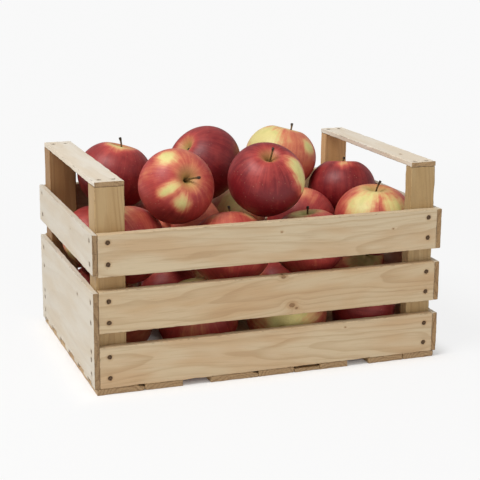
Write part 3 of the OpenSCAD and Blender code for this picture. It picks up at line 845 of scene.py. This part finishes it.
# Each bare place is a direction from the apple's middle, its size and how much of the red it takes away
apples = {
    1: {"level": 0.66, "bare": [((-0.3, 0.1, 0.94), 0.7, 0.5), ((-0.51, -0.86, -0.09), 0.3, 0.15)]},
    2: {"level": 0.5, "bare": [((-0.39, -0.9, 0.18), 0.75, 0.5)]},
    3: {"level": 0.85},
    7: {"level": 0.75},
    12: {"level": 0.6, "bare": [((0.26, -0.95, 0.17), 0.6, 0.45), ((-0.25, -0.96, 0.12), 0.5, 0.3)]},
    13: {"level": 0.8, "bare": [((-0.84, -0.36, -0.4), 0.45, 0.7)]},
    14: {"level": 0.74, "patchy": 0.3, "bare": [((-0.27, -0.04, 0.96), 0.4, 0.35)]},
    15: {
        "level": 0.7, "patchy": 0.35, "cupShare": 0.3,
        "bare": [((0.46, -0.2, 0.87), 0.2, 0.3), ((-0.54, -0.07, 0.84), 0.2, 0.15)],
    },
    16: {"level": 0.74, "cup": 0.6, "cupShare": 0.45, "bare": [((-0.35, 0, 0.93), 0.35, 0.35)]},
    17: {"level": 0.45, "bare": [((-0.22, -0.66, 0.7), 0.4, 0.3)]},
    18: {"level": 0.6},
    19: {"level": 0.82, "patchy": 0.3, "bare": [((-0.03, -0.24, 0.97), 0.35, 0.3)]},
    20: {
        "level": 0.66, "cup": 0.6, "cupShare": 0.3,
        "bare": [((-0.65, -0.54, 0.54), 0.36, 0.6), ((0.2, -0.87, 0.47), 0.32, 0.55),
                 ((-0.24, -0.32, 0.91), 0.4, 0.2)],
    },
    21: {
        "level": 0.98, "streak": 0.25, "patchy": 0.3, "cup": 0.5, "cupShare": 0.6,
        "bare": [((-0.15, -0.42, 0.9), 0.22, 0.5)],
    },
    22: {
        "level": 0.94, "streak": 0.25, "patchy": 0.3, "cup": 0.58, "cupShare": 0.55,
        "bare": [((0.05, -0.3, 0.95), 0.36, 0.5)],
    },
    23: {
        "level": 0.7, "cup": 0.55, "cupShare": 0.12, "pores": 0.5, "patchy": 0.4,
        "bare": [((-0.37, -0.29, 0.88), 0.26, 0.6), ((-0.49, -0.86, 0.14), 0.16, 0.55),
                 ((-0.32, -0.91, 0.24), 0.16, 0.5), ((-0.64, -0.77, 0.01), 0.14, 0.45),
                 ((-0.12, -0.96, -0.27), 0.24, 0.65), ((0.2, -0.95, 0.22), 0.25, 0.2)],
    },
    24: {
        "level": 1.0, "streak": 0.3, "patchy": 0.35, "cup": 0.42, "cupShare": 0.35, "pores": 0.5,
        "bare": [((0.58, -0.64, 0.5), 0.32, 0.75), ((0.7, -0.71, 0.14), 0.32, 0.7),
                 ((0.86, -0.48, -0.12), 0.3, 0.6), ((-0.36, -0.73, 0.58), 0.4, 0.15)],
    },
    25: {"level": 1.0, "streak": 0.25, "patchy": 0.35, "cup": 0.48, "cupShare": 0.65, "twig": 0.55},
    26: {
        "level": 0.56,
        "bare": [((-0.69, -0.15, 0.71), 0.45, 0.6), ((-0.66, -0.5, 0.56), 0.34, 0.45),
                 ((0.57, -0.72, 0.38), 0.22, 0.55)],
    },
}
stemBark = stemFinish()
for number in range(1, 27):
    node = "apple_%02d" % number
    middle, radius, axis, tip = applePose(node)
    turned = np.array(Vector(axis).to_track_quat("Z", "Y").to_matrix())
    draw = np.random.default_rng(number * 11)
    look = dict(skinLook, seed=number, level=draw.uniform(0.45, 0.85))
    look["bare"] = [(tuple(draw.normal(0, 1, 3)), draw.uniform(0.3, 0.6), 0.5)]
    look.update(apples.get(number, {}))
    skin = skinFinish("skin%02d" % number, middle, axis, look)
    body, bodyFaces, meridian = appleSkin(radius, number)
    foot = body[-2, 2] - 1.5
    end = (tip - middle) @ turned
    end = end + (1 - look["twig"]) * (np.array([0, 0, foot]) - end)
    tube, tubeFaces, tubeShare = stemTube(foot, end, number)
    leaves, leafFaces = sepals(-body[-1, 2] - 1.2, number)
    leafShare = np.tile([0.0, 0.0, 0.85], (len(leaves), 1))
    local = np.vstack([body, tube, leaves])
    faces = np.vstack([bodyFaces, tubeFaces + len(body), leafFaces + len(body) + len(tube)])
    kinds = np.concatenate([np.zeros(len(bodyFaces)), np.ones(len(tubeFaces) + len(leafFaces))])
    points = local @ turned.T + middle
    attributes = {"meridian": np.vstack([meridian, tubeShare, leafShare])}
    piece = makePiece(node + "_fruit", points, faces, [skin, stemBark], kinds, attributes)
    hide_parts(node)
print("apples made")

groundLook = {"half": 6.0, "white": 0.945, "shown": 0.87, "under": (-0.02, 0.035), "far": (0.12, 0.9)}


def makeGround():
    # A plain pale ground that looks white to the camera, with a share of its own lamplight left in it for the
    # object's shadow: all of it below the crate, where no white shows, and none far away
    look = groundLook
    mesh = bpy.data.meshes.new("ground")
    half = look["half"]
    corners = [(-half, -half, 0), (half, -half, 0), (half, half, 0), (-half, half, 0)]
    mesh.from_pydata(corners, [], [(0, 1, 2, 3)])
    material, shader, begin = startMaterial("groundWhite")
    white = (look["white"],) * 3 + (1.0,)
    shader.inputs["Base Color"].default_value = white
    shader.inputs["Roughness"].default_value = 0.9
    shader.inputs["Specular IOR Level"].default_value = 0.1
    x, y, z = begin.make("ShaderNodeTexCoord", out="Object").parts()
    apart = (x.math("ABSOLUTE", x) - cadCorners[1][0]).most(y.math("ABSOLUTE", y) - cadCorners[1][1])
    shown = apart.rise(*look["under"]) * (look["shown"] + (1 - look["shown"]) * apart.rise(*look["far"]))
    ray = begin.make("ShaderNodeLightPath", out="Is Camera Ray")
    glow = begin.make("ShaderNodeEmission", None, {"Color": white, "Strength": 1.0})
    mixed = begin.make("ShaderNodeMixShader", None, {0: ray * shown, 2: glow})
    begin.tree.links.new(shader.outputs[0], mixed.socket.node.inputs[1])
    begin.tree.links.new(mixed.socket, begin.tree.nodes["Material Output"].inputs["Surface"])
    mesh.materials.append(material)
    ground = bpy.data.objects.new("ground", mesh)
    bpy.context.scene.collection.objects.link(ground)


lightLook = {
    "room": 0.46, "roomWhite": (0.945, 0.95, 0.955),
    "key": {"place": (-1.45, -0.55, 2.5), "size": 1.3, "power": 62, "colour": (1.0, 0.985, 0.965)},
    "fill": {"place": (0.9, -2.2, 0.9), "size": 1.8, "power": 7, "colour": (1.0, 0.96, 0.9)},
}


def makeLights():
    # Two large soft lamps, aimed at the crate's middle, in a plain room that the camera sees as white
    for name in ("key", "fill"):
        look = lightLook[name]
        lamp = bpy.data.lights.new(name, "AREA")
        lamp.energy, lamp.size, lamp.color = look["power"], look["size"], look["colour"]
        obj = bpy.data.objects.new(name, lamp)
        away = Vector(look["place"]) - Vector((0, 0, 0.12))
        turn = away.to_track_quat("Z", "Y").to_matrix().to_4x4()
        obj.matrix_world = Matrix.Translation(look["place"]) @ turn
        bpy.context.scene.collection.objects.link(obj)
    world = bpy.data.worlds.new("room")
    bpy.context.scene.world = world
    world.use_nodes = True
    begin = Wire(world.node_tree)
    white = (groundLook["white"],) * 3 + (1.0,)
    room = {"Color": (*lightLook["roomWhite"], 1.0), "Strength": lightLook["room"]}
    lit = begin.make("ShaderNodeBackground", None, room)
    seen = begin.make("ShaderNodeBackground", None, {"Color": white, "Strength": 1.0})
    ray = begin.make("ShaderNodeLightPath", out="Is Camera Ray")
    mixed = begin.make("ShaderNodeMixShader", None, {0: ray, 1: lit, 2: seen})
    world.node_tree.links.new(mixed.socket, world.node_tree.nodes["World Output"].inputs["Surface"])


cameraLook = {"place": (-0.4603, -1.2813, 0.4582), "aim": (0.00866, 0, 0.11391), "roll": 0.00843,
              "lens": 94.64}


def makeCamera():
    data = bpy.data.cameras.new("camera")
    data.lens, data.sensor_width, data.clip_start, data.clip_end = cameraLook["lens"], 36.0, 0.05, 50.0
    camera = bpy.data.objects.new("camera", data)
    away = Vector(cameraLook["place"]) - Vector(cameraLook["aim"])
    turn = away.to_track_quat("Z", "Y").to_matrix().to_4x4() @ Matrix.Rotation(cameraLook["roll"], 4, "Z")
    camera.matrix_world = Matrix.Translation(cameraLook["place"]) @ turn
    bpy.context.scene.collection.objects.link(camera)
    bpy.context.scene.camera = camera


makeGround()
makeLights()
makeCamera()
bpy.context.scene.view_settings.view_transform = "Standard"
print("stage, lamps and camera made")
